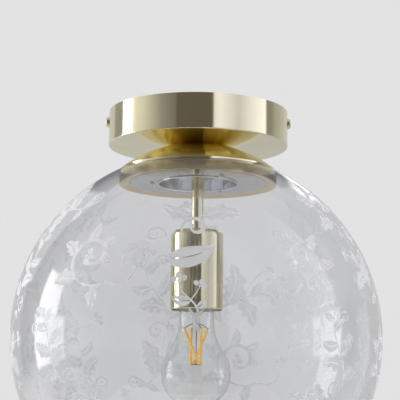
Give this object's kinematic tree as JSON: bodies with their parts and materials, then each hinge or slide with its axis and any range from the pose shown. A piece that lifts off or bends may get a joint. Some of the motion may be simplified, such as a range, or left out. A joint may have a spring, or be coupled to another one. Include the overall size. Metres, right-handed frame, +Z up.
{
  "type": "flush mount ceiling light",
  "caption": "Flush mount ceiling light: brass drum canopy and domed cap over a large clear glass globe, open below, with a screw-in bulb on a short rod inside.",
  "frame": {"origin": "middle of the ceiling face, half way between the bracket's two slots", "axes": "+Z up into the ceiling, X along the bracket through the side screws, -Y the pictured front"},
  "size_m": [0.3029, 0.303, 0.3255],
  "materials": {
    "satin_brass": "satin, lightly brushed round",
    "brass_fitting": "plain",
    "zinc_steel": "zinc plated",
    "chrome": "polished",
    "grey_plate": "plated and polished",
    "globe_glass": "clear with an etched ornament",
    "beige_silicone": "matt",
    "clear_silicone": "translucent",
    "white_plastic": "matt",
    "porcelain": "glazed and opaque",
    "bulb_cap_metal": "nickel plated",
    "black_vitrite": "glossy and opaque",
    "bulb_clear_glass": "clear",
    "led_filament": "matt orange coating",
    "support_wire": "bright wire",
    "brown_insulation": "matt",
    "blue_insulation": "matt",
    "green_yellow_insulation": "matt"
  },
  "bodies": {
    "lamp": {"canopy": "satin_brass", "cap": "satin_brass", "stem_rod": "satin_brass", "socket_cup": "satin_brass", "live_terminal": "brass_fitting", "neutral_terminal": "brass_fitting", "terminal_sleeves": "brass_fitting", "screw_shell": "brass_fitting", "centre_contact": "brass_fitting", "ceiling_bracket": "zinc_steel", "weld_nuts": "zinc_steel", "earth_tag": "zinc_steel", "earth_screw": "zinc_steel", "terminal_screws": "zinc_steel", "terminal_fixing_screw": "zinc_steel", "rod_lock_washer": "zinc_steel", "rod_lock_nut": "zinc_steel", "distance_sleeve": "zinc_steel", "cup_nut": "zinc_steel", "holder_bracket": "zinc_steel", "bracket_nut": "zinc_steel", "holder_screws": "zinc_steel", "holder_terminal_screws": "zinc_steel", "hub_screws": "zinc_steel", "hub_cup": "chrome", "clamp_plate": "grey_plate", "glass_globe": "globe_glass", "globe_gasket": "beige_silicone", "cap_gasket": "clear_silicone", "terminal_block": "white_plastic", "rod_bushing": "white_plastic", "holder_body": "porcelain", "live_wire": "brown_insulation", "neutral_wire": "blue_insulation", "earth_wire": "green_yellow_insulation"},
    "bulb_carrier": {"bulb_tip_contact": "bulb_cap_metal"},
    "bulb": {"bulb_insulator": "black_vitrite", "bulb_shell": "bulb_cap_metal", "bulb_glass": "bulb_clear_glass", "bulb_stem": "bulb_clear_glass", "filaments": "led_filament", "filament_supports": "support_wire"},
    "left_washer": {"left_screw_washer": "brass_fitting"},
    "left_screw": {"left_canopy_screw": "brass_fitting"},
    "right_washer": {"right_screw_washer": "brass_fitting"},
    "right_screw": {"right_canopy_screw": "brass_fitting"}
  },
  "joints": [
    {"name": "bulb_travel", "type": "slide", "parent": "lamp", "child": "bulb_carrier", "axis": [0, 0, -1], "range_m": [0, 0.01457]},
    {"name": "bulb_turn", "type": "hinge", "parent": "bulb_carrier", "child": "bulb", "pos_m": [0, 0, -0.2], "axis": [0, 0, -1], "range_deg": [0, 1440]},
    {"name": "left_screw_travel", "type": "slide", "parent": "lamp", "child": "left_washer", "axis": [-1, 0, 0], "range_m": [0, 0.0063]},
    {"name": "left_screw_turn", "type": "hinge", "parent": "left_washer", "child": "left_screw", "pos_m": [-0.075, 0, -0.008], "axis": [-1, 0, 0], "range_deg": [0, 3245]},
    {"name": "right_screw_travel", "type": "slide", "parent": "lamp", "child": "right_washer", "axis": [1, 0, 0], "range_m": [0, 0.0063]},
    {"name": "right_screw_turn", "type": "hinge", "parent": "right_washer", "child": "right_screw", "pos_m": [0.075, 0, -0.008], "axis": [1, 0, 0], "range_deg": [0, 3245]}
  ],
  "couplings": [
    {"joint": "bulb_travel", "follows": "bulb_turn", "m_per_rad": 0.00057757},
    {"joint": "left_screw_turn", "follows": "left_screw_travel", "rad_per_m": 8976},
    {"joint": "right_screw_turn", "follows": "right_screw_travel", "rad_per_m": 8976}
  ]
}
